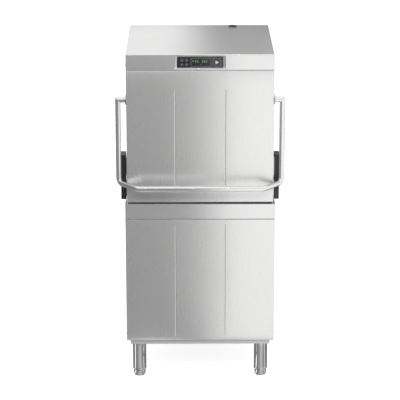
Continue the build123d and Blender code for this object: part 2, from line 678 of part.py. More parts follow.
def side_blocks():
    body = block(BLOCK_IN, BLOCK_OUT, BLOCK_FRONT, BLOCK_BACK, BLOCK_LOW, BLOCK_HIGH)
    body = fillet(body.edges().filter_by(Axis.Z), 3)
    body = fillet(body.edges().group_by(Axis.Z)[-1], 2)
    return twin(body)


def hood_carriages():
    """Side brackets that carry the slide shoes, and the bridge that the struts lift."""
    x1 = HOOD_HALF - SHEET - 0.1
    low = HOOD_BOTTOM + 12
    arm = block(x1 - 3, x1, HOOD_BACK + 0.2, RAIL_BACK + 4, low, CARRIAGE_TOP)
    bridge = block(-x1 + 3.1, x1 - 3.1, HOOD_BACK + 2.5, HOOD_BACK + 7.5, BRIDGE_Z - 16, BRIDGE_Z + 16)
    lugs = [block(side * STRUT_X - 4, side * STRUT_X + 4, HOOD_BACK + 7.6, STRUT_Y - 6.1,
                  BRIDGE_Z - 12, BRIDGE_Z + 12) for side in (-1, 1)]
    plate = block(x1 - 3, x1, HOOD_BACK - 50, HOOD_BACK - SHEET - 0.2, low, CARRIAGE_TOP)
    return gather(twin(arm), twin(plate), bridge, *lugs)


def slide_shoes():
    x0 = RAIL_IN + 3.6
    x1 = HOOD_HALF - SHEET - 3.2
    shoes = []
    for z in (SHOE_LOW, SHOE_LOW + 73):
        shoe = block(x0, x1, RAIL_FRONT + 3.5, RAIL_BACK - 3.5, z, z + 36)
        shoes.append(twin(chamfer(shoe.edges().filter_by(Axis.X), 2)))
    return gather(*shoes)


def vent_cap():
    x = 155.0
    y = HOOD_BACK - 28
    cap = disc(x, y, HOOD_TOP + 0.1, HOOD_TOP + 3, 20)
    cap = fillet(cap.edges().group_by(Axis.Z)[-1], 1.5)
    return cap


# ---------------------------------------------------------------- control panel
GLASS_FRONT = HOOD_FRONT + POCKET_DEPTH - GLASS_T - 0.1


def key_places():
    """Name and centre of each small round key."""
    half = KEY_PITCH / 2
    return {
        "key_upper_left": (KEY_X - half, PANEL_Z + half),
        "key_upper_right": (KEY_X + half, PANEL_Z + half),
        "key_lower_left": (KEY_X - half, PANEL_Z - half),
        "key_lower_right": (KEY_X + half, PANEL_Z - half),
    }


def control_glass():
    """The black front plate, with openings for the keys."""
    glass = block(-GLASS_W / 2, GLASS_W / 2, GLASS_FRONT, GLASS_FRONT + GLASS_T,
                  PANEL_Z - GLASS_H / 2, PANEL_Z + GLASS_H / 2)
    glass = fillet(glass.edges().filter_by(Axis.Y), 3)
    for x, z in key_places().values():
        glass -= rod_y(x, GLASS_FRONT - 1, GLASS_FRONT + 10, z, KEY_R + KEY_CLEAR)
    hole_w = START_W / 2 + KEY_CLEAR
    hole_h = START_H / 2 + KEY_CLEAR
    hole = block(START_X - hole_w, START_X + hole_w, GLASS_FRONT - 1, GLASS_FRONT + 10,
                 PANEL_Z - hole_h, PANEL_Z + hole_h)
    return glass - fillet(hole.edges().filter_by(Axis.Y), 3 + KEY_CLEAR)


def round_key(x, z):
    key = rod_y(x, GLASS_FRONT - KEY_PROUD, GLASS_FRONT + 5, z, KEY_R)
    return fillet(key.edges().group_by(Axis.Y)[0], 0.5)


def start_key():
    key = block(START_X - START_W / 2, START_X + START_W / 2, GLASS_FRONT - KEY_PROUD,
                GLASS_FRONT + 5, PANEL_Z - START_H / 2, PANEL_Z + START_H / 2)
    key = fillet(key.edges().filter_by(Axis.Y), 3)
    return fillet(key.edges().group_by(Axis.Y)[0], 0.5)


def control_housing():
    """The board and its housing behind the pocket, clear of the keys' travel."""
    y0 = HOOD_FRONT + POCKET_DEPTH + 1.7
    case = block(-106, 106, y0, y0 + 34, PANEL_Z - 27, PANEL_Z + 27)
    case -= block(-104, 104, y0 - 1, y0 + 32, PANEL_Z - 25, PANEL_Z + 25)
    board = block(-100, 100, y0 + 12, y0 + 13.6, PANEL_Z - 23, PANEL_Z + 23)
    return gather(case, board)


# ---------------------------------------------------------------- fasteners
def screw_y(x, y, z):
    head = rod_y(x, y + 0.1, y + SCREW_RISE, z, 5)
    return fillet(head.edges().group_by(Axis.Y)[-1], 1.5)


def screw_x(x, y, z):
    head = rod_x(x + 0.1, x + SCREW_RISE, y, z, 5)
    return fillet(head.edges().group_by(Axis.X)[-1], 1.5)


def base_screws():
    heads = []
    for z in (280.0, 500.0, DECK_SEAM - 17):
        heads += [screw_y(x, BACK_Y, z) for x in (-290, 0, 290)]
    for z in (DECK_TOP + 30, 1146.0, COLUMN_TOP - 28):
        heads += [screw_y(x, BACK_Y, z) for x in (-300, 300)]
    for z in (PANEL_BOTTOM + 18, DECK_SEAM - 17):
        for y in (-300, 30, 380):
            heads.append(twin(screw_x(BASE_HALF, y, z)))
    return gather(*heads)


def hood_screws():
    heads = [twin(screw_x(HOOD_HALF, y, LID_SEAM + 17)) for y in (-300, 0, 290)]
    heads += [screw_y(x, HOOD_BACK, LID_SEAM + 35) for x in (-290, 0, 290)]
    return gather(*heads)


# ---------------------------------------------------------------- all nodes
def all_parts():
    parts = {
        "chassis_frame": chassis_frame(),
        "base_front_panel": base_front_panel(),
        "base_left_panel": base_right_panel().mirror(Plane.YZ),
        "base_right_panel": base_right_panel(),
        "base_rear_panel": base_rear_panel(),
        "deck_rim": deck_rim(),
        "rear_wall": rear_wall(),
        "leg_tubes": leg_tubes(),
        "wash_tank": wash_tank(),
        "filter_trays": filter_trays(),
        "overflow_standpipe": overflow_standpipe(),
        "lower_spindle": lower_spindle(),
        "lower_wash_arm": lower_wash_arm(),
        "lower_rinse_arm": lower_rinse_arm(),
        "upper_wash_arm": upper_wash_arm(),
        "upper_rinse_arm": upper_rinse_arm(),
        "upper_wash_pipe": upper_wash_pipe(),
        "rinse_pipe": rinse_pipe(),
        "rack_rails": rack_rails(),
        "tank_heater": tank_heater(),
        "wash_pump_casing": wash_pump_casing(),
        "wash_pump_motor": wash_pump_motor(),
        "pump_impeller": pump_impeller(),
        "rinse_boiler": rinse_boiler(),
        "drain_pump": drain_pump(),
        "dosing_pumps": dosing_pumps(),
        "electrical_box": electrical_box(),
        "water_inlet": water_inlet(),
        "drain_outlet": drain_outlet(),
        "cable_gland": cable_gland(),
        "column_frame": column_frame(),
        "guide_rails": guide_rails(),
        "column_cover": column_cover(),
        "strut_cylinders": strut_cylinders(),
        "strut_rods": strut_rods(),
        "base_screws": base_screws(),
        "hood_front_skin": hood_front_skin(),
        "hood_left_skin": hood_right_skin().mirror(Plane.YZ),
        "hood_right_skin": hood_right_skin(),
        "hood_top_cover": hood_top_cover(),
        "hood_liner": hood_liner(),
        "hood_gasket": hood_gasket(),
        "handle_tube": handle_tube(),
        "handle_flanges": handle_flanges(),
        "side_blocks": side_blocks(),
        "hood_carriages": hood_carriages(),
        "slide_shoes": slide_shoes(),
        "vent_cap": vent_cap(),
        "control_glass": control_glass(),
        "control_housing": control_housing(),
        "start_key": start_key(),
        "hood_screws": hood_screws(),
    }
    for name, (x, z) in key_places().items():
        parts[name] = round_key(x, z)
    for row, y in (("front", LEG_FRONT_Y), ("rear", LEG_REAR_Y)):
        for side, x in (("left", -LEG_X), ("right", LEG_X)):
            parts[f"foot_{row}_{side}"] = foot(x, y)
    return parts


FRONT_LIMIT = BAR_Y - HANDLE_R
BACK_LIMIT = BACK_Y + SCREW_RISE
TO_ORIGIN = Pos(0, -(FRONT_LIMIT + BACK_LIMIT) / 2, 0)

os.makedirs("parts", exist_ok=True)
for node, shape in all_parts().items():
    export_step(TO_ORIGIN * shape, f"parts/{node}.step")
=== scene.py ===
"""Looks of a hood-type commercial dishwasher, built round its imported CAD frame."""

import json
import logging
import math
from dataclasses import dataclass, field
from enum import Enum
from typing import Iterable, Sequence

import bmesh
import bpy
from mathutils import Matrix, Vector

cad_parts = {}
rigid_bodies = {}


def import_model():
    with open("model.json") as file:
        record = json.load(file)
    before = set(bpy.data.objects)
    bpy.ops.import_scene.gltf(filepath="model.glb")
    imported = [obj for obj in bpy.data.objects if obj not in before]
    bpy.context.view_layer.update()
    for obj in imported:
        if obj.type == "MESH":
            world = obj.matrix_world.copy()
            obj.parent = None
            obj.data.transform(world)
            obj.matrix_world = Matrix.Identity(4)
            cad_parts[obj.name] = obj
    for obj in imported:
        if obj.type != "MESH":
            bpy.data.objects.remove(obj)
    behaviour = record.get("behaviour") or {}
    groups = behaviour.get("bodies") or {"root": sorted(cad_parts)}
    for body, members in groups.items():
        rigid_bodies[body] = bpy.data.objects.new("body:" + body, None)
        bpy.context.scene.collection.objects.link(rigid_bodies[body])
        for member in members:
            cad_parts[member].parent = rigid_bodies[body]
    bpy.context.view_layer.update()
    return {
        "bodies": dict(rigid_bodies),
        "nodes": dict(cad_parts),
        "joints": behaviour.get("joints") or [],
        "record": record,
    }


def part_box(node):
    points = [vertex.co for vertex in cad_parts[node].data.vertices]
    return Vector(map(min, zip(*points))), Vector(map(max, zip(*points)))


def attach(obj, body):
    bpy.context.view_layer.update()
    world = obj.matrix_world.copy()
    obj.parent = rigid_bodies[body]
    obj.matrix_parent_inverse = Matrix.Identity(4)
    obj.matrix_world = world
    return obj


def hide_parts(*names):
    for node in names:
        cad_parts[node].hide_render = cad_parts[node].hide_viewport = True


LOG = logging.getLogger("dishwasher")
MM = 0.001
FACING = 0.9  # how nearly a normal follows a direction before its face counts as facing it
WELD = 1e-6  # points nearer to each other than this are one, in metres
LOOSE_WELD = 2e-6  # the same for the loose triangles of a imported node
FLUSH = 1e-4  # how far a face may lie off a plane and still belong to it, in metres
FLAT = math.radians(0.6)  # a fold smaller than this is dissolved
HARD = math.radians(40)  # a fold larger than this is rounded
LEG_RADIUS = 31 * MM


# ------------------------------------------------------------------ shader maths
class Wire:
    """A shader socket or number that can be used in Python arithmetic."""

    def __init__(self, graph: "Graph", source: object) -> None:
        """Keep the graph and the socket or number.

        Args:
            graph: The node graph that new nodes go into.
            source: An output socket, or a plain number.
        """
        self.graph = graph
        self.source = source

    def _maths(self, operation: str, first: object, second: object) -> "Wire":
        """Add one Math node.

        Args:
            operation: The Math node's operation.
            first: The first value.
            second: The second value.

        Returns:
            The node's result.
        """
        node = self.graph.add("ShaderNodeMath", {"operation": operation}, {0: first, 1: second})
        return Wire(self.graph, node.outputs[0])

    def __add__(self, other: object) -> "Wire":
        """Return self + other."""
        return self._maths("ADD", self, other)

    def __radd__(self, other: object) -> "Wire":
        """Return other + self."""
        return self._maths("ADD", other, self)

    def __sub__(self, other: object) -> "Wire":
        """Return self - other."""
        return self._maths("SUBTRACT", self, other)

    def __rsub__(self, other: object) -> "Wire":
        """Return other - self."""
        return self._maths("SUBTRACT", other, self)

    def __mul__(self, other: object) -> "Wire":
        """Return self * other."""
        return self._maths("MULTIPLY", self, other)

    def __rmul__(self, other: object) -> "Wire":
        """Return other * self."""
        return self._maths("MULTIPLY", other, self)

    def __truediv__(self, other: object) -> "Wire":
        """Return self / other."""
        return self._maths("DIVIDE", self, other)

    def __rtruediv__(self, other: object) -> "Wire":
        """Return other / self."""
        return self._maths("DIVIDE", other, self)


class Graph:
    """One material's node tree, with its Principled shader."""

    def __init__(self, name: str) -> None:
        """Start a material with only a shader and an output.

        Args:
            name: The material's name.
        """
        self.material = bpy.data.materials.new(name)
        self.material.use_nodes = True
        self.tree = self.material.node_tree
        self.tree.nodes.clear()
        output = self.tree.nodes.new("ShaderNodeOutputMaterial")
        self.shader = self.tree.nodes.new("ShaderNodeBsdfPrincipled")
        self.tree.links.new(self.shader.outputs[0], output.inputs[0])

    def add(self, kind: str, settings: dict, values: dict) -> bpy.types.Node:
        """Add any node.

        Args:
            kind: The node's type.
            settings: The node's own settings, set before its sockets.
            values: What each input socket gets: a number, a tuple, a socket or a Wire.

        Returns:
            The new node.
        """
        node = self.tree.nodes.new(kind)
        for key, value in settings.items():
            setattr(node, key, value)
        for key, value in values.items():
            self.feed(node.inputs[key], value)
        return node

    def feed(self, socket: bpy.types.NodeSocket, value: object) -> None:
        """Set a socket to a constant, or link it.

        Args:
            socket: The input socket.
            value: A number, a tuple, a socket or a Wire.
        """
        if isinstance(value, Wire):
            value = value.source
        if isinstance(value, bpy.types.NodeSocket):
            self.tree.links.new(value, socket)
        else:
            socket.default_value = value

    def place(self, scale: Sequence[float]) -> bpy.types.NodeSocket:
        """Return Object coordinates stretched by a scale along each axis.

        Args:
            scale: The factor along X, Y and Z.

        Returns:
            The socket with the stretched coordinates.
        """
        coords = self.add("ShaderNodeTexCoord", {}, {})
        mapping = self.add("ShaderNodeMapping", {},
                           {"Vector": coords.outputs["Object"], "Scale": tuple(scale)})
        return mapping.outputs["Vector"]

    def noise(self, scale: Sequence[float], detail: float = 3.0, rough: float = 0.5) -> Wire:
        """Return noise of mean one half in Object coordinates.

        Args:
            scale: How fine the noise is along each axis, in cells per metre.
            detail: How many octaves it has.
            rough: How strong the finer octaves are.

        Returns:
            The noise's value.
        """
        node = self.add("ShaderNodeTexNoise", {},
                        {"Vector": self.place(scale), "Scale": 1.0, "Detail": detail,
                         "Roughness": rough})
        return Wire(self, node.outputs[0])

    def tint(self, factor: Wire, dark: tuple, light: tuple) -> bpy.types.NodeSocket:
        """Return a colour between two others by a factor."""
        node = self.add("ShaderNodeMix", {"data_type": "RGBA"},
                        {0: factor, 6: (*dark, 1.0), 7: (*light, 1.0)})
        return node.outputs[2]

    def bump(self, height: Wire, distance: float, strength: float) -> None:
        """Feed a height to the shader's normal through a Bump node."""
        node = self.add("ShaderNodeBump", {},
                        {"Height": height, "Distance": distance, "Strength": strength})
        self.feed(self.shader.inputs["Normal"], node.outputs[0])


# ------------------------------------------------------------------ finishes
def shades(colour: tuple, darker: float, lighter: float) -> tuple[tuple, tuple]:
    """Return a darker and a lighter version of a colour.

    Args:
        colour: Red, green and blue.
        darker: What the darker one is multiplied by.
        lighter: What the lighter one is multiplied by.

    Returns:
        The two colours.
    """
    return tuple(c * darker for c in colour), tuple(min(1.0, c * lighter) for c in colour)


class Grain(Enum):
    """Which way a sheet was brushed, as noise scales along X, Y and Z."""

    UPRIGHT = (1400.0, 1400.0, 9.0)
    ALONG_X = (9.0, 1400.0, 1400.0)
    ALONG_Y = (1400.0, 9.0, 1400.0)
    NONE = (240.0, 240.0, 240.0)


@dataclass(frozen=True)
class Steel:
    """Stainless sheet, bar or tube, brushed or polished."""

    name: str
    tone: float = 0.70
    rough: float = 0.28
    grain: Grain = Grain.UPRIGHT
    streak: float = 0.02
    bump: float = 0.008
    metal: float = 0.85
    warmth: tuple = (0.992, 0.995)
    handled: float = 0.035
    brushed: float = 0.05
    relief: float = 0.2 * MM

    def make(self) -> bpy.types.Material:
        """Return the material: faint cloudy tone, fine brushed streaks, a slight bump."""
        g = Graph(self.name)
        streaks = g.noise(self.grain.value, 4.0, 0.6)
        clouds = g.noise((3.0, 3.0, 3.0), 2.0)
        fingerprints = g.noise((11.0, 11.0, 7.0), 5.0, 0.55)
        shade = clouds * 0.5 + streaks * 0.5
        low = self.tone * (1 - self.streak)
        high = self.tone * (1 + self.streak)
        dark = (low, low, low * self.warmth[0])
        light = (high, high, high * self.warmth[1])
        s = g.shader
        g.feed(s.inputs["Base Color"], g.tint(shade, dark, light))
        s.inputs["Metallic"].default_value = self.metal
        wear = (fingerprints - 0.5) * self.handled + (streaks - 0.5) * self.brushed
        g.feed(s.inputs["Roughness"], wear + self.rough)
        g.bump(streaks, self.relief, self.bump)
        return g.material


@dataclass(frozen=True)
class Moulding:
    """Moulded plastic or rubber with a fine grain."""

    name: str
    colour: tuple
    rough: float = 0.5
    grain: float = 900.0
    bump: float = 0.15
    coat: float = 0.0
    relief: float = 0.3 * MM

    def make(self) -> bpy.types.Material:
        """Return the material: grained surface with a slightly uneven gloss."""
        g = Graph(self.name)
        fine = g.noise((self.grain,) * 3, 2.0)
        broad = g.noise((14.0, 14.0, 14.0), 3.0)
        s = g.shader
        dark, light = shades(self.colour, 0.82, 1.18)
        g.feed(s.inputs["Base Color"], g.tint(broad * 0.7 + fine * 0.3, dark, light))
        g.feed(s.inputs["Roughness"], (broad - 0.5) * 0.14 + self.rough)
        s.inputs["Coat Weight"].default_value = self.coat
        g.bump(fine, self.relief, self.bump)
        return g.material


@dataclass(frozen=True)
class Casting:
    """Cast or coated metal with a pebbled skin."""

    name: str
    colour: tuple
    metal: float = 1.0
    rough: float = 0.45
    pebble: float = 500.0
    bump: float = 0.25
    relief: float = 0.6 * MM

    def make(self) -> bpy.types.Material:
        """Return the material: pebbled bump, uneven tone and gloss."""
        g = Graph(self.name)
        pebbles = g.noise((self.pebble,) * 3, 3.0)
        broad = g.noise((20.0, 20.0, 20.0), 3.0)
        s = g.shader
        g.feed(s.inputs["Base Color"], g.tint(broad, *shades(self.colour, 0.85, 1.1)))
        s.inputs["Metallic"].default_value = self.metal
        g.feed(s.inputs["Roughness"], (pebbles - 0.5) * 0.2 + self.rough)
        g.bump(pebbles, self.relief, self.bump)
        return g.material


@dataclass(frozen=True)
class Glow:
    """A printed or lit mark on the control panel; on a printed mark the glow is painted light,
    since print is no lamp.
    """

    name: str
    colour: tuple
    strength: float = 0.6
    rough: float = 0.35

    def make(self) -> bpy.types.Material:
        """Return the material: the mark's colour, faintly uneven, with its own light, which on
        printed marks is a painted glow.
        """
        g = Graph(self.name)
        patch = g.noise((700.0, 700.0, 700.0), 1.0)
        s = g.shader
        colour = g.tint(patch, *shades(self.colour, 0.85, 1.0))
        g.feed(s.inputs["Base Color"], colour)
        g.feed(s.inputs["Emission Color"], colour)
        s.inputs["Emission Strength"].default_value = self.strength
        s.inputs["Roughness"].default_value = self.rough
        return g.material


FINISHES = {
    "front_steel": Steel("front_steel"),
    "side_steel": Steel("side_steel", 0.69, 0.29, Grain.ALONG_Y, 0.025, 0.01),
    "top_steel": Steel("top_steel", 0.70, 0.24, Grain.ALONG_X),
    "rim_steel": Steel("rim_steel", 0.70, 0.25, Grain.ALONG_X),
    "chassis_steel": Steel("chassis_steel", 0.44, 0.42, Grain.ALONG_X, 0.02, 0.01, 0.6),
    "inner_steel": Steel("inner_steel", 0.60, 0.33, Grain.NONE, 0.05, 0.02),
    "tube_steel": Steel("tube_steel", 0.76, 0.20, Grain.NONE, 0.015, 0.006, 0.9),
    "leg_steel": Steel("leg_steel", 0.68, 0.12, Grain.UPRIGHT, 0.02, 0.008, 1.0),
    "black_moulding": Moulding("black_moulding", (0.014, 0.014, 0.015), 0.45),
    "seal_rubber": Moulding("seal_rubber", (0.012, 0.012, 0.012), 0.62, 1500.0, 0.2),
    "panel_black": Moulding("panel_black", (0.010, 0.011, 0.014), 0.16, 60.0, 0.0, 0.6),
    "key_black": Moulding("key_black", (0.016, 0.017, 0.021), 0.26, 60.0, 0.02, 0.3),
    "grey_polymer": Moulding("grey_polymer", (0.16, 0.17, 0.19), 0.48, 700.0),
    "powder_coat": Casting("powder_coat", (0.42, 0.43, 0.44), 0.0, 0.5, 900.0),
    "cast_aluminium": Casting("cast_aluminium", (0.58, 0.58, 0.60)),
    "valve_brass": Casting("valve_brass", (0.72, 0.56, 0.27), 1.0, 0.3, 300.0),
    # printed marks: their faint emission is a painted glow, as print gives off no light
    "print_pale_painted_glow": Glow("print_pale_painted_glow", (0.27, 0.25, 0.20), 0.1),
    "print_line_painted_glow": Glow("print_line_painted_glow", (0.13, 0.132, 0.14), 0.05),
    "lit_green": Glow("lit_green", (0.16, 0.23, 0.07), 0.5),
    "lit_red": Glow("lit_red", (0.30, 0.03, 0.05), 0.5),
}


class Store:
    """Makes each finish once and hands it out by name."""

    def __init__(self) -> None:
        """Start with no material made."""
        self.made: dict[str, bpy.types.Material] = {}

    def get(self, name: str) -> bpy.types.Material:
        """Hand out a finish's material.

        Args:
            name: The finish's name.

        Returns:
            The material, made on the first call.
        """
        if name not in self.made:
            self.made[name] = FINISHES[name].make()
        return self.made[name]


# ------------------------------------------------------------------ the workshop
def set_up(bm: bmesh.types.BMesh, name: str, material: bpy.types.Material) -> bpy.types.Object:
    """Turn a bmesh into an object of one material and put it in the scene.

    Args:
        bm: The shape, which is freed.
        name: The name of the object and its mesh.
        material: Its material.

    Returns:
        The new object.
    """
    mesh = bpy.data.meshes.new(name)
    bm.to_mesh(mesh)
    bm.free()
    mesh.materials.append(material)
    obj = bpy.data.objects.new(name, mesh)
    bpy.context.scene.collection.objects.link(obj)
    return obj


class Workshop:
    """Turns bmeshes into pieces that ride on the frame."""

    def __init__(self, frame: dict) -> None:
        """Keep the frame and a store of finishes.
        """
        self.frame = frame
        self.store = Store()
        self.slots = {row["node"]: row["material_slot"] for row in frame["record"]["subparts"]}
        self.body_of = {node: body for body, nodes in
                        frame["record"]["behaviour"]["bodies"].items() for node in nodes}

    def piece(self, bm: bmesh.types.BMesh, name: str, node: str, finish: str,
              stands_for: bool = True, smooth: float = 32.0) -> bpy.types.Object:
        """Make a mesh object from a bmesh.

        Args:
            bm: The shape, in metres, in the machine's frame.
            name: The piece's name.
            node: The CAD node that it goes with.
            finish: The name of its finish.
            stands_for: Whether it replaces that node.
            smooth: The angle in degrees under which edges are shaded smooth.

        Returns:
            The new object.
        """
        obj = set_up(bm, name, self.store.get(finish))
        obj.data.shade_smooth()
        obj.data.set_sharp_from_angle(angle=math.radians(smooth))
        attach(obj, self.body_of[node])
        if stands_for:
            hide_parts(node)
        LOG.info("%s: %d faces, finish %s", name, len(obj.data.polygons), finish)
        return obj

    def dress(self, nodes: Iterable[str], finish: str) -> None:
        """Give CAD nodes a finish.

        Args:
            nodes: The nodes' names.
            finish: The name of their finish.
        """
        for node in nodes:
            mesh = self.frame["nodes"][node].data
            mesh.materials.clear()
            mesh.materials.append(self.store.get(finish))
            for polygon in mesh.polygons:
                polygon.material_index = 0
        LOG.info("dressed %s in %s", ", ".join(nodes), finish)

    def softened(self, node: str, finish: str, radius: float = 0.6 * MM,
                 segments: int = 2) -> bpy.types.Object:
        """Make a piece from a CAD node's mesh, with its hard edges eased.

        Args:
            node: The CAD node, which the piece replaces.
            finish: The name of its finish.
            radius: How far each hard edge is rounded, in metres.
            segments: How many strips each rounding has.

        Returns:
            The new piece.
        """
        bm = bmesh.new()
        bm.from_mesh(self.frame["nodes"][node].data)
        bmesh.ops.remove_doubles(bm, verts=bm.verts, dist=LOOSE_WELD)
        bmesh.ops.dissolve_limit(bm, angle_limit=FLAT, verts=bm.verts, edges=bm.edges)
        obj = self.piece(bm, f"{node}_eased", node, finish)
        ease(obj, radius, segments)
        return obj


def ease(obj: bpy.types.Object, radius: float, segments: int = 3) -> None:
    """Round an object's hard edges with a Bevel modifier.

    Args:
        obj: The object.
        radius: The rounding, in metres.
        segments: How many strips each rounding has.
    """
    bevel = obj.modifiers.new("ease", "BEVEL")
    bevel.width = radius
    bevel.segments = segments
    bevel.limit_method = "ANGLE"
    bevel.angle_limit = HARD
    bevel.miter_outer = "MITER_ARC"
    bevel.use_clamp_overlap = True
    bevel.harden_normals = True


def thicken(obj: bpy.types.Object, thickness: float) -> None:
    """Give a sheet its thickness, inwards from its outer face.

    Args:
        obj: The sheet.
        thickness: Its thickness, in metres.
    """
    wall = obj.modifiers.new("wall", "SOLIDIFY")
    wall.thickness = thickness
    wall.offset = -1.0
    wall.use_even_offset = True


def add_box(bm: bmesh.types.BMesh, low: Sequence[float], high: Sequence[float]) -> None:
    """Add a box to a bmesh.

    Args:
        bm: Where the box goes.
        low: Its lowest corner.
        high: Its highest corner.
    """
    centre = (Vector(low) + Vector(high)) / 2
    size = Vector(high) - Vector(low)
    matrix = Matrix.Translation(centre) @ Matrix.Diagonal((*size, 1.0))
    bmesh.ops.create_cube(bm, size=1.0, matrix=matrix)


def bevel_edges(bm: bmesh.types.BMesh, edges: Sequence[bmesh.types.BMEdge], offset: float,
                segments: int) -> None:
    """Round the given edges of a bmesh.

    Args:
        bm: The bmesh.
        edges: The edges.
        offset: The rounding's width, in metres.
        segments: How many strips it has.
    """
    bmesh.ops.bevel(bm, geom=list(edges), offset=offset, offset_type="OFFSET", affect="EDGES",
                    segments=segments, profile=0.5, material=-1, clamp_overlap=True)


def cut_at(bm: bmesh.types.BMesh, point: Sequence[float], normal: Sequence[float]) -> None:
    """Split every face that a plane crosses."""
    geometry = bm.verts[:] + bm.edges[:] + bm.faces[:]
    bmesh.ops.bisect_plane(bm, geom=geometry, dist=WELD, plane_co=point, plane_no=normal)


def folded_sheet(low: Sequence[float], high: Sequence[float], open_side: Sequence[float],
                 radius: float, steps: int) -> bmesh.types.BMesh:
    """Make a box without one side, its folds rounded.

    Args:
        low: The box's lowest corner.
        high: Its highest corner.
        open_side: The direction of the side that is left out.
        radius: The folds' rounding, in metres.
        steps: How many strips each fold has.

    Returns:
        The sheet as a bmesh, without its thickness.
    """
    bm = bmesh.new()
    add_box(bm, low, high)
    gone = [f for f in bm.faces if f.normal.dot(Vector(open_side)) > FACING]
    bmesh.ops.delete(bm, geom=gone, context="FACES_ONLY")
    bevel_edges(bm, [e for e in bm.edges if not e.is_boundary], radius, steps)
    return bm


def edges_at(faces: Iterable[bmesh.types.BMFace]) -> list[bmesh.types.BMEdge]:
    """Return every edge that meets a corner of the faces."""
    return list({e for f in faces for v in f.verts for e in v.link_edges})


def lathe(profile: Sequence[tuple[float, float]], centre: Sequence[float], steps: int = 48,
          bm: bmesh.types.BMesh | None = None) -> bmesh.types.BMesh:
    """Spin an outline round an upright axis.

    Args:
        profile: Radius and height of each point; it starts and ends on the axis or at one point.
        centre: A point on the axis; heights are counted from it.
        steps: How many steps the full turn has.
        bm: The bmesh that the shape goes into, or none for a new one.

    Returns:
        The bmesh with the closed shape.
    """
    bm = bm or bmesh.new()
    verts = [bm.verts.new((centre[0] + r, centre[1], centre[2] + z)) for r, z in profile]
    edges = [bm.edges.new(pair) for pair in zip(verts, verts[1:])]
    bmesh.ops.spin(bm, geom=verts + edges, cent=centre, axis=(0, 0, 1), angle=math.tau,
                   steps=steps, use_merge=True)
    bmesh.ops.remove_doubles(bm, verts=bm.verts, dist=WELD)
    bmesh.ops.recalc_face_normals(bm, faces=bm.faces)
    return bm


# ------------------------------------------------------------------ sheet-metal fronts
@dataclass
class BeadedFront:
    """A folded front sheet with two pressed upright beads."""

    shop: Workshop
    node: str
    bead_low: float
    bead_high: float
    bead_x: float = 109 * MM
    bead_width: float = 8 * MM
    bead_depth: float = 2.8 * MM
    bead_slope: float = 3.2 * MM
    bead_radius: float = 0.6 * MM
    fold_radius: float = 3.5 * MM
    sheet: float = 1.5 * MM

    def build(self) -> bpy.types.Object:
        """Return the finished sheet: flat face, folded edges, beads pressed in."""
        low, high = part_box(self.node)
        bm = folded_sheet(low, high, (0, 1, 0), self.fold_radius, 4)
        half = self.bead_width / 2
        for x in (-self.bead_x, self.bead_x):
            for side in (-half, half):
                cut_at(bm, (x + side, 0, 0), (1, 0, 0))
        for z in (self.bead_low, self.bead_high):
            cut_at(bm, (0, 0, z), (0, 0, 1))
        for x in (-self.bead_x, self.bead_x):
            self._press(bm, x, low.y)
        obj = self.shop.piece(bm, f"{self.node}_sheet", self.node, "front_steel")
        thicken(obj, self.sheet)
        return obj

    def _press(self, bm: bmesh.types.BMesh, x: float, y: float) -> None:
        """Press one bead into the face.

        Args:
            bm: The sheet.
            x: The bead's middle.
            y: The face's plane.
        """
        strip = [f for f in bm.faces if f.normal.y < -FACING
                 and abs(f.calc_center_median().x - x) < self.bead_width / 2
                 and self.bead_low < f.calc_center_median().z < self.bead_high
                 and abs(f.calc_center_median().y - y) < FLUSH]
        bmesh.ops.inset_region(bm, faces=strip, thickness=self.bead_slope,
                               depth=-self.bead_depth)
        bevel_edges(bm, edges_at(strip), self.bead_radius, 2)


@dataclass
class HoodCover:
    """The hood's lid with its fascia and the sloping pocket for the control panel."""

    shop: Workshop
    node: str = "hood_top_cover"
    pocket_half: float = 110 * MM
    pocket_high: float = 60 * MM
    slope: float = 6 * MM
    pocket_radius: float = 1.0 * MM
    fold_radius: float = 3.0 * MM
    sheet: float = 1.5 * MM

    def build(self) -> bpy.types.Object:
        """Return the lid: open below, folded edges rounded, pocket pressed into the front."""
        low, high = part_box(self.node)
        middle = self._panel_height()
        bm = folded_sheet(low, high, (0, 0, -1), self.fold_radius, 5)
        for x in (-self.pocket_half, self.pocket_half):
            cut_at(bm, (x, 0, 0), (1, 0, 0))
        for side in (-0.5, 0.5):
            cut_at(bm, (0, 0, middle + side * self.pocket_high), (0, 0, 1))
        pocket = [f for f in bm.faces if f.normal.y < -FACING
                  and abs(f.calc_center_median().x) < self.pocket_half
                  and abs(f.calc_center_median().z - middle) < self.pocket_high / 2]
        bmesh.ops.inset_region(bm, faces=pocket, thickness=self.slope, depth=-self.slope)
        bevel_edges(bm, edges_at(pocket), self.pocket_radius, 2)
        obj = self.shop.piece(bm, "hood_cover_sheet", self.node, "top_steel")
        thicken(obj, self.sheet)
        return obj

    def _panel_height(self) -> float:
        """Return the height of the control panel's middle."""
        low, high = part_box("control_glass")
        return (low.z + high.z) / 2


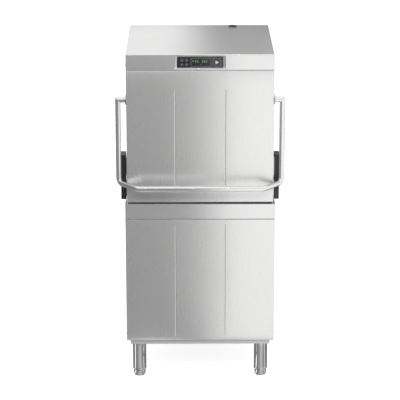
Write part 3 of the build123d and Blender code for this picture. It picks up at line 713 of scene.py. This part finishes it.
@dataclass
class Hood:
    """The lifting hood: sheets, seal, mouldings, handle."""

    shop: Workshop
    below_beads: float = 72 * MM
    above_beads: float = 85.6 * MM

    def build(self) -> None:
        """Build and dress everything on the hood but its panel."""
        low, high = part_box("hood_front_skin")
        BeadedFront(self.shop, "hood_front_skin", low.z + self.below_beads,
                    high.z - self.above_beads).build()
        HoodCover(self.shop).build()
        for node in ("hood_left_skin", "hood_right_skin"):
            self.shop.softened(node, "side_steel", 0.5 * MM)
        self.shop.dress(["hood_liner", "hood_carriages"], "inner_steel")
        self.shop.dress(["strut_rods", "handle_tube"], "tube_steel")
        self.shop.dress(["hood_screws"], "leg_steel")
        self.shop.softened("handle_flanges", "leg_steel", 0.6 * MM)
        self.shop.dress(["side_blocks", "slide_shoes", "control_housing"], "black_moulding")
        self.shop.softened("hood_gasket", "seal_rubber", 1.2 * MM)
        self._vent_cap()

    def _vent_cap(self) -> None:
        """Build the small black cap on the hood's top, with a raised rim."""
        low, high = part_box("vent_cap")
        centre = ((low.x + high.x) / 2, (low.y + high.y) / 2, low.z)
        r = (high.x - low.x) / 2
        top = high.z - low.z
        shoulder, floor = top * 0.4, top * 0.45
        crest, lip, well = r * 0.94, r * 0.8, r * 0.74
        profile = [(0, 0), (r, 0), (r, shoulder), (crest, top), (lip, top), (well, floor),
                   (0, floor)]
        obj = self.shop.piece(lathe(profile, centre, 64), "vent_cap_plug", "vent_cap",
                              "black_moulding", smooth=25)
        ease(obj, 0.3 * MM, 2)


# ------------------------------------------------------------------ control panel
@dataclass
class ControlPanel:
    """The black front plate, its keys, their printed signs with a faint painted glow, and the lit
    display.
    """

    shop: Workshop
    print_rise: float = 0.12 * MM
    line: float = 1.0 * MM
    ring_shares: tuple = (0.80, 0.72)
    sign_share: float = 0.5
    outline_share: float = 0.9
    triangle_share: float = 0.56
    triangle_shift: float = 1.0 * MM
    triangle_line: float = 1.1 * MM
    display_middle: float = 3.5 * MM
    display_half: tuple = (43 * MM, 17.5 * MM)
    figures: tuple = (("60", -18 * MM), ("082", 16 * MM))
    figures_up: float = 4 * MM
    marks: tuple = (-36 * MM, -33 * MM)
    mark_size: tuple = (1.5 * MM, 4 * MM)
    marks_up: float = 6 * MM
    lamp_size: float = 2.4 * MM
    lamp_down: float = 10 * MM
    segment: float = 4.2 * MM
    stroke: float = 0.9 * MM
    round_keys: tuple = ("key_upper_left", "key_upper_right", "key_lower_left", "key_lower_right")

    def build(self) -> None:
        """Build the plate, the keys and everything printed or lit on them."""
        self.shop.softened("control_glass", "panel_black", 0.4 * MM, 3)
        self.shop.dress([*self.round_keys, "start_key"], "key_black")
        for node in self.round_keys:
            self._key_ring(node)
        self._start_sign()
        self._display()

    def _front(self, node: str) -> tuple[Vector, float, float]:
        """Find a node's front face.

        Args:
            node: The node's name.

        Returns:
            The face's middle, its half width and its half height.
        """
        low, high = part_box(node)
        middle = Vector(((low.x + high.x) / 2, low.y, (low.z + high.z) / 2))
        return middle, (high.x - low.x) / 2, (high.z - low.z) / 2

    def _key_ring(self, node: str) -> None:
        """Print a pale ring and a small sign on a round key, both with a faint painted glow.

        Args:
            node: The key's node.
        """
        middle, half, _ = self._front(node)
        bm = bmesh.new()
        matrix = self._facing(middle)
        for share in self.ring_shares:
            bmesh.ops.create_circle(bm, segments=40, radius=half * share, matrix=matrix)
        bmesh.ops.bridge_loops(bm, edges=bm.edges[:])
        self._raise(bm)
        self.shop.piece(bm, f"{node}_ring", node, "print_line_painted_glow", False)
        sign = bmesh.new()
        self._bar(sign, middle, self.line, half * self.sign_share)
        if "left" in node:
            self._bar(sign, middle, half * self.sign_share, self.line)
        self.shop.piece(sign, f"{node}_sign", node, "print_pale_painted_glow", False)

    def _raise(self, bm: bmesh.types.BMesh) -> None:
        """Give flat print its thickness, back towards the key.

        Args:
            bm: The flat print.
        """
        made = bmesh.ops.extrude_face_region(bm, geom=bm.faces[:])
        moved = [v for v in made["geom"] if isinstance(v, bmesh.types.BMVert)]
        bmesh.ops.translate(bm, verts=moved, vec=(0, self.print_rise, 0))
        bmesh.ops.recalc_face_normals(bm, faces=bm.faces)

    def _facing(self, middle: Vector) -> Matrix:
        """Return the placing of flat print round a point of the front."""
        return Matrix.Translation(middle - Vector((0, self.print_rise, 0))) @ \
            Matrix.Rotation(math.pi / 2, 4, "X")

    def _bar(self, bm: bmesh.types.BMesh, middle: Vector, wide: float, high: float,
             right: float = 0.0, up: float = 0.0) -> None:
        """Add one flat bar of print.

        Args:
            bm: Where the bar goes.
            middle: A point on the front plane.
            wide: The bar's width, in metres.
            high: Its height.
            right: How far its middle is to the right of the point.
            up: How far its middle is above the point.
        """
        x, y, z = middle.x + right, middle.y, middle.z + up
        add_box(bm, (x - wide / 2, y - self.print_rise, z - high / 2),
                (x + wide / 2, y, z + high / 2))

    def _outline(self, bm: bmesh.types.BMesh, middle: Vector, half_w: float,
                 half_h: float) -> None:
        """Add a thin rectangular outline on the front plane.

        Args:
            bm: Where the outline goes.
            middle: Its middle.
            half_w: Half its width.
            half_h: Half its height.
        """
        for side in (-1, 1):
            self._bar(bm, middle, 2 * half_w + self.line, self.line, up=side * half_h)
            self._bar(bm, middle, self.line, 2 * half_h - self.line, right=side * half_w)

    def _start_sign(self) -> None:
        """Print an outline and a pale triangle on the start key, both with a faint painted glow.
        """
        middle, half_w, half_h = self._front("start_key")
        frame = bmesh.new()
        self._outline(frame, middle, half_w * self.outline_share, half_h * self.outline_share)
        self.shop.piece(frame, "start_key_outline", "start_key", "print_line_painted_glow", False)
        bm = bmesh.new()
        matrix = self._facing(middle - Vector((self.triangle_shift, 0, 0))) @ \
            Matrix.Rotation(-math.pi / 2, 4, "Z")
        bmesh.ops.create_circle(bm, cap_ends=True, segments=3,
                                radius=half_w * self.triangle_share, matrix=matrix)
        bmesh.ops.inset_region(bm, faces=bm.faces[:], thickness=self.triangle_line)
        core = [f for f in bm.faces if len(f.edges) == 3
                and not any(e.is_boundary for e in f.edges)]
        bmesh.ops.delete(bm, geom=core, context="FACES_ONLY")
        self._raise(bm)
        self.shop.piece(bm, "start_key_triangle", "start_key", "print_pale_painted_glow", False)

    def _display(self) -> None:
        """Build the display's printed outline with a faint painted glow, its lit figures and a
        small red lamp.
        """
        low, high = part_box("control_glass")
        middle = Vector((self.display_middle, low.y, (low.z + high.z) / 2))
        outline = bmesh.new()
        self._outline(outline, middle, *self.display_half)
        self.shop.piece(outline, "display_outline", "control_glass", "print_line_painted_glow", False)
        figures = bmesh.new()
        for digits, x in self.figures:
            self._number(figures, digits, middle + Vector((x, 0, self.figures_up)))
        for x in self.marks:
            self._bar(figures, middle, *self.mark_size, right=x, up=self.marks_up)
        self.shop.piece(figures, "display_figures", "control_glass", "lit_green", False)
        lamp = bmesh.new()
        self._bar(lamp, middle, self.lamp_size, self.lamp_size, up=-self.lamp_down)
        self.shop.piece(lamp, "display_lamp", "control_glass", "lit_red", False)

    def _number(self, bm: bmesh.types.BMesh, digits: str, middle: Vector) -> None:
        """Add seven-segment digits.

        Args:
            bm: Where the bars go.
            digits: The figures to show.
            middle: The middle of the number.
        """
        lit = {"0": "abcdef", "2": "abged", "6": "afgedc", "8": "abcdefg"}
        full, half, long = self.segment, self.segment / 2, self.segment * 0.8
        across = {"a": full, "g": 0.0, "d": -full}
        sides = {"f": (-half, half), "b": (half, half), "e": (-half, -half), "c": (half, -half)}
        pitch = 2 * self.segment
        for index, digit in enumerate(digits):
            x = (index - (len(digits) - 1) / 2) * pitch
            for name in lit[digit]:
                if name in across:
                    self._bar(bm, middle, long, self.stroke, x, across[name])
                else:
                    right, up = sides[name]
                    self._bar(bm, middle, self.stroke, long, x + right, up)


# ------------------------------------------------------------------ base
@dataclass
class Base:
    """The fixed base: front, sides, rim, chassis, legs and feet."""

    shop: Workshop
    below_beads: float = 22 * MM
    above_beads: float = 23 * MM
    leg_bore: float = 10.3 * MM
    cup_height: float = 30.5 * MM
    stem_radius: float = 10 * MM
    thread: float = 2.5 * MM
    thread_depth: float = 1 * MM
    feet: tuple = ("foot_front_left", "foot_front_right", "foot_rear_left", "foot_rear_right")

    def build(self) -> None:
        """Build and dress the base's outside."""
        low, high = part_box("base_front_panel")
        BeadedFront(self.shop, "base_front_panel", low.z + self.below_beads,
                    high.z - self.above_beads).build()
        for node in ("base_left_panel", "base_right_panel", "base_rear_panel"):
            self.shop.softened(node, "side_steel", 0.5 * MM)
        self.shop.softened("deck_rim", "rim_steel", 1.6 * MM, 4)
        self.shop.softened("chassis_frame", "chassis_steel", 1.2 * MM, 3)
        self.shop.dress(["base_screws"], "leg_steel")
        self._legs()
        for node in self.feet:
            self._foot(node)

    def _legs(self) -> None:
        """Build the four tube legs, each with a collar on top and a rolled lower edge."""
        low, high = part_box("leg_tubes")
        r, bore, tall = LEG_RADIUS, self.leg_bore, high.z - low.z
        profile = [(bore, 0), (r - 3 * MM, 0), (r - 1.2 * MM, 0.6 * MM), (r, 3 * MM),
                   (r, 7 * MM), (r - 1 * MM, 8.5 * MM), (r - 1 * MM, tall - 7 * MM),
                   (r, tall - 5.5 * MM), (r, tall - 0.4 * MM), (r - 1 * MM, tall), (0, tall),
                   (0, tall - 4 * MM), (bore, tall - 4 * MM), (bore, 0)]
        legs = bmesh.new()
        for x in (low.x + r, high.x - r):
            for y in (low.y + r, high.y - r):
                lathe(profile, (x, y, low.z), 56, legs)
        self.shop.piece(legs, "leg_tubes_rolled", "leg_tubes", "leg_steel", smooth=28)

    def _foot(self, node: str) -> None:
        """Build one cup foot with a grip groove, on its threaded stem.

        Args:
            node: The foot's node.
        """
        low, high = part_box(node)
        centre = ((low.x + high.x) / 2, (low.y + high.y) / 2, low.z)
        r = (high.x - low.x) / 2
        cup, top, stem = self.cup_height, high.z - low.z, self.stem_radius
        core = stem - self.thread_depth
        profile = [(0, 0), (r - 7 * MM, 0), (r - 4.4 * MM, 0.6 * MM), (r - 2.1 * MM, 2.1 * MM),
                   (r - 0.6 * MM, 4.4 * MM), (r, 7 * MM), (r, 13 * MM), (r - 1.2 * MM, 14 * MM),
                   (r - 1.2 * MM, 17 * MM), (r, 18 * MM), (r, cup - 2 * MM),
                   (r - 0.6 * MM, cup - 0.6 * MM), (r - 2 * MM, cup), (stem, cup)]
        for turn in range(int((top - cup) / self.thread)):
            z = cup + turn * self.thread
            profile += [(core, z + self.thread * 0.25), (stem, z + self.thread * 0.75)]
        profile += [(core, top), (0, top)]
        self.shop.piece(lathe(profile, centre, 56), f"{node}_cup", node, "leg_steel", smooth=28)


# ------------------------------------------------------------------ everything less seen
@dataclass
class Inside:
    """Chamber, spray system, machinery, rear column and connections."""

    shop: Workshop
    finish_of: dict = field(default_factory=lambda: {
        "inner_steel": ["wash_tank", "filter_trays", "overflow_standpipe", "lower_spindle",
                        "lower_wash_arm", "lower_rinse_arm", "upper_wash_arm", "upper_rinse_arm",
                        "upper_wash_pipe", "rinse_pipe", "rack_rails", "tank_heater",
                        "rinse_boiler", "column_frame", "guide_rails"],
        "grey_polymer": ["wash_pump_casing", "pump_impeller", "drain_pump", "dosing_pumps",
                         "drain_outlet"],
        "powder_coat": ["electrical_box", "strut_cylinders"],
        "cast_aluminium": ["wash_pump_motor"],
        "valve_brass": ["water_inlet"],
        "black_moulding": ["cable_gland"],
    })

    def build(self) -> None:
        """Dress the nodes, and ease the large sheets behind."""
        for finish, nodes in self.finish_of.items():
            self.shop.dress(nodes, finish)
        self.shop.softened("rear_wall", "side_steel", 0.5 * MM)
        self.shop.softened("column_cover", "side_steel", 0.5 * MM)


# ------------------------------------------------------------------ studio
@dataclass(frozen=True)
class Card:
    """One flat card beside the set, which only shiny surfaces see.

    Its tone goes from one value to another between two places along an axis. With spread_at,
    the change narrows towards a far point on Y, so that it stays upright in the reflection.
    """

    name: str
    corners: tuple
    tone_first: float
    tone_last: float
    first: float = -1.0
    last: float = 1.0
    spread_at: float = 0.0
    axis: int = 0

    def build(self) -> None:
        """Put the card up."""
        bm = bmesh.new()
        bm.faces.new([bm.verts.new(c) for c in self.corners])
        obj = set_up(bm, self.name, self._paper())
        obj.visible_camera = False
        obj.visible_diffuse = False
        obj.visible_shadow = False
        obj.visible_transmission = False

    def _paper(self) -> bpy.types.Material:
        """Return the card's glowing paper."""
        g = Graph(self.name)
        place = g.add("ShaderNodeSeparateXYZ", {}, {0: g.place((1, 1, 1))})
        across = Wire(g, place.outputs[self.axis])
        if self.spread_at:
            across = across * self.spread_at / (self.spread_at - Wire(g, place.outputs[1]))
        tone = g.add("ShaderNodeMapRange", {"interpolation_type": "SMOOTHSTEP"},
                     {0: across, 1: self.first, 2: self.last})
        ends = (self.tone_first,) * 3, (self.tone_last,) * 3
        g.feed(g.shader.inputs["Emission Color"], g.tint(Wire(g, tone.outputs[0]), *ends))
        g.shader.inputs["Emission Strength"].default_value = 1.0
        g.shader.inputs["Base Color"].default_value = (0.0, 0.0, 0.0, 1.0)
        g.shader.inputs["Specular IOR Level"].default_value = 0.0
        return g.material


def upright(x0: float, x1: float, y0: float, y1: float, z0: float, z1: float) -> tuple:
    """Return the corners of an upright card over a line on the floor."""
    return (x0, y0, z0), (x1, y1, z0), (x1, y1, z1), (x0, y0, z1)


def lying(x0: float, x1: float, y0: float, y1: float, z: float) -> tuple:
    """Return the corners of a card that lies at one height."""
    return (x0, y0, z), (x1, y0, z), (x1, y1, z), (x0, y1, z)


@dataclass
class Studio:
    """Pale floor, soft light, cards that shape the reflections, and the camera."""

    elevation: float = 17.06
    azimuth: float = -0.45
    distance: float = 8.0
    lens: float = 156.85
    aim: tuple = (0.0018, 0.0, 0.749)
    dark: float = 0.13
    light: float = 1.01
    change: tuple = (-0.04, 0.15)
    floor_reach: float = 30.0
    floor_tone: float = 0.5
    floor_glow: float = 0.76
    softbox_size: tuple = (3.0, 0.45)
    softbox_power: float = 165.0
    softbox_place: tuple = (0.3, -3.3, 2.9)
    softbox_aim: tuple = (0.0, 0.0, 0.8)
    sensor: float = 36.0

    def build(self) -> None:
        """Set the stage."""
        self._world()
        self._floor()
        self._cards()
        self._light()
        self._camera()
        bpy.context.scene.view_settings.view_transform = "Standard"
        LOG.info("studio ready")

    def _world(self) -> None:
        """Fill the world with even white light."""
        world = bpy.data.worlds.new("studio")
        world.use_nodes = True
        background = world.node_tree.nodes["Background"]
        background.inputs["Color"].default_value = (1.0, 1.0, 1.0, 1.0)
        background.inputs["Strength"].default_value = 1.0
        bpy.context.scene.world = world

    def _floor(self) -> None:
        """Lay the pale floor, which glows a little so that shadows stay light."""
        bm = bmesh.new()
        bmesh.ops.create_grid(bm, x_segments=1, y_segments=1, size=self.floor_reach)
        g = Graph("floor")
        g.shader.inputs["Base Color"].default_value = (*(self.floor_tone,) * 3, 1.0)
        g.shader.inputs["Roughness"].default_value = 1.0
        g.shader.inputs["Specular IOR Level"].default_value = 0.0
        g.shader.inputs["Emission Color"].default_value = (1.0, 1.0, 1.0, 1.0)
        g.shader.inputs["Emission Strength"].default_value = self.floor_glow
        obj = set_up(bm, "floor", g.material)

    def _cards(self) -> None:
        """Put up the cards: dark left and light right ahead, the reverse behind the top."""
        front, side, back, near, half = -1.3, 1.5, 1.6, -0.56, 3
        far, low, brow = 7.07, 0.003, 1.42
        dark, light = self.dark, self.light
        cards = [
            Card("card_front", upright(-half, half, front, front, low, brow), dark, light,
                 *self.change, far),
            Card("card_brow", upright(-half, half, front, front, brow, 1.74), 0.45, 0.45),
            Card("card_floor_front", lying(-half, half, front, near, low), dark, light,
                 *self.change, far),
            Card("card_floor_near", lying(-side, side, near, back, low), 0.36, 0.20,
                 near, -0.12, axis=1),
            Card("card_back", upright(-0.62, 0.62, back, back, 1.3, 2.9), light, 0.36,
                 -0.17, 0.15),
            Card("card_left", upright(-side, -side, front, 0.5, low, 2.3), 0.10, 0.10),
            Card("card_right_front", upright(side, side, front, -0.05, low, 2.3), light, light),
            Card("card_right_back", upright(side, side, 0.1, back, low, 2.3), 0.35, 0.35),
        ]
        for card in cards + self._leg_strips():
            card.build()

    def _leg_strips(self) -> list[Card]:
        """Return narrow wedges on the floor round the front legs, which draw lines on them."""
        legs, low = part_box("leg_tubes"), 0.004
        # Each wedge's two angles from straight ahead, in degrees, and its tone.
        tones = {(-100, -84): 0.10, (-84, -66): 1.6, (-66, -34): 0.28, (-34, -8): 0.42,
                 (-8, 26): 0.66, (26, 50): 0.45, (50, 66): 0.28, (66, 84): 0.95, (84, 100): 0.08}
        strips, short, long, steep = [], 0.26, 0.44, 100
        y = legs[0].y + LEG_RADIUS
        for x in (legs[0].x + LEG_RADIUS, legs[1].x - LEG_RADIUS):
            for (start, stop), tone in tones.items():
                inward = abs(start + stop) > steep and (start + stop) * x < 0
                reach = short if inward else long
                corners = [(x, y, low)]
                for angle in (start, stop):
                    a = math.radians(angle)
                    corners.append((x + reach * math.sin(a), y - reach * math.cos(a), low))
                name = f"card_leg_{'left' if x < 0 else 'right'}_{start + 100}"
                strips.append(Card(name, tuple(corners), tone, tone))
        return strips

    def _light(self) -> None:
        """Hang one large soft light ahead and above."""
        light = bpy.data.lights.new("softbox", "AREA")
        light.shape = "RECTANGLE"
        light.size, light.size_y = self.softbox_size
        light.energy = self.softbox_power
        obj = bpy.data.objects.new("softbox", light)
        obj.visible_glossy = False
        obj.location = self.softbox_place
        aim = Vector(self.softbox_aim) - obj.location
        obj.rotation_mode = "QUATERNION"
        obj.rotation_quaternion = aim.to_track_quat("-Z", "Y")
        bpy.context.scene.collection.objects.link(obj)

    def _camera(self) -> None:
        """Set up the camera, a little above and far off, with a long lens."""
        camera = bpy.data.cameras.new("camera")
        camera.lens = self.lens
        camera.sensor_width = self.sensor
        obj = bpy.data.objects.new("camera", camera)
        a, e = math.radians(self.azimuth), math.radians(self.elevation)
        back = Vector((math.sin(a) * math.cos(e), -math.cos(a) * math.cos(e), math.sin(e)))
        obj.location = Vector(self.aim) + back * self.distance
        obj.rotation_mode = "QUATERNION"
        obj.rotation_quaternion = (-back).to_track_quat("-Z", "Y")
        bpy.context.scene.collection.objects.link(obj)
        bpy.context.scene.camera = obj


def main() -> None:
    """Load the frame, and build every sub-assembly."""
    logging.basicConfig(level=logging.INFO, format="%(message)s")
    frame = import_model()
    shop = Workshop(frame)
    Studio().build()
    Hood(shop).build()
    ControlPanel(shop).build()
    Base(shop).build()
    Inside(shop).build()


if __name__ == "__main__":
    main()
